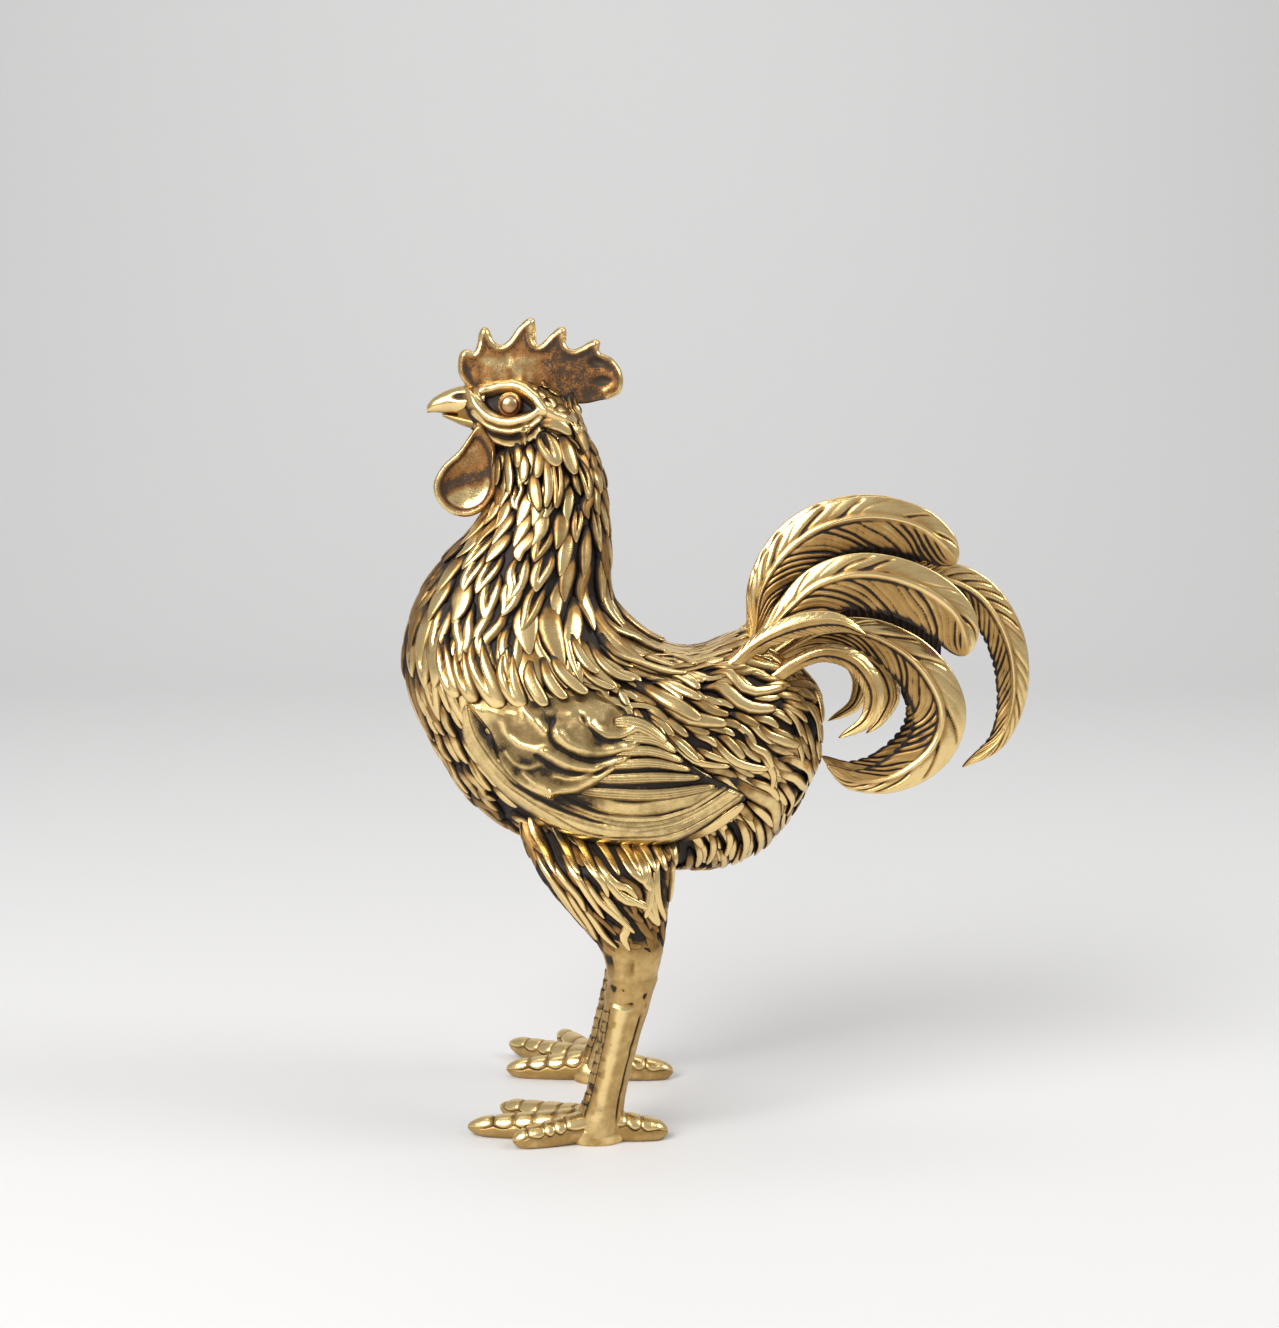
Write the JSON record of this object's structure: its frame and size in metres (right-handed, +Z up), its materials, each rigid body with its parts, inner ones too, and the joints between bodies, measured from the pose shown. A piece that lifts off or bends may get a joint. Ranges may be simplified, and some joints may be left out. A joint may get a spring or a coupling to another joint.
{
  "type": "cast brass cockerel figurine",
  "caption": "Standing cockerel figurine in cast brass with toothed comb, hackled neck, folded wings, curling sickle tail and spread feet to stand on.",
  "frame": {"origin": "on the surface that it stands on, under the middle of the whole bird", "axes": "+Z up, the bird faces -X, its left side looks towards -Y"},
  "size_m": [0.1168, 0.0626, 0.1494],
  "materials": {
    "polished_brass_plumage": "relief polished, dark brown patina in the recesses",
    "polished_brass_wing": "satin polished, softly hammered, dark patina in the grooves",
    "polished_brass_head": "relief polished, dark patina round the eye and mouth",
    "dark_brass_eye": "toned dark, smooth",
    "tarnished_brass_comb": "reddish brown tarnish with fine speckle, rubbed bright on the rims",
    "polished_brass_leg": "polished, patina between the scutes",
    "polished_brass_tail": "polished ridges, dark patina in the barb grooves",
    "raw_brass_pin": "as turned"
  },
  "bodies": {
    "root": {"body_left": "polished_brass_plumage", "body_right": "polished_brass_plumage", "comb": "tarnished_brass_comb", "eye_left": "dark_brass_eye", "eye_right": "dark_brass_eye", "head": "polished_brass_head", "leg_left": "polished_brass_leg", "leg_right": "polished_brass_leg", "neck_hackle": "polished_brass_plumage", "seam_dowel_front": "raw_brass_pin", "seam_dowel_rear": "raw_brass_pin", "tail_covert_left": "polished_brass_tail", "tail_covert_right": "polished_brass_tail", "tail_inner_curl": "polished_brass_tail", "tail_long_sickle_left": "polished_brass_tail", "tail_long_sickle_right": "polished_brass_tail", "tail_outer_sickle": "polished_brass_tail", "tail_second_left": "polished_brass_tail", "tail_second_right": "polished_brass_tail", "tail_small_curl_left": "polished_brass_tail", "tail_small_curl_right": "polished_brass_tail", "tail_top_left": "polished_brass_tail", "tail_top_right": "polished_brass_tail", "thigh_left": "polished_brass_plumage", "thigh_pin_left": "raw_brass_pin", "thigh_pin_right": "raw_brass_pin", "thigh_right": "polished_brass_plumage", "wattle_left": "tarnished_brass_comb", "wattle_right": "tarnished_brass_comb", "wing_left": "polished_brass_wing", "wing_right": "polished_brass_wing"}
  },
  "joints": []
}
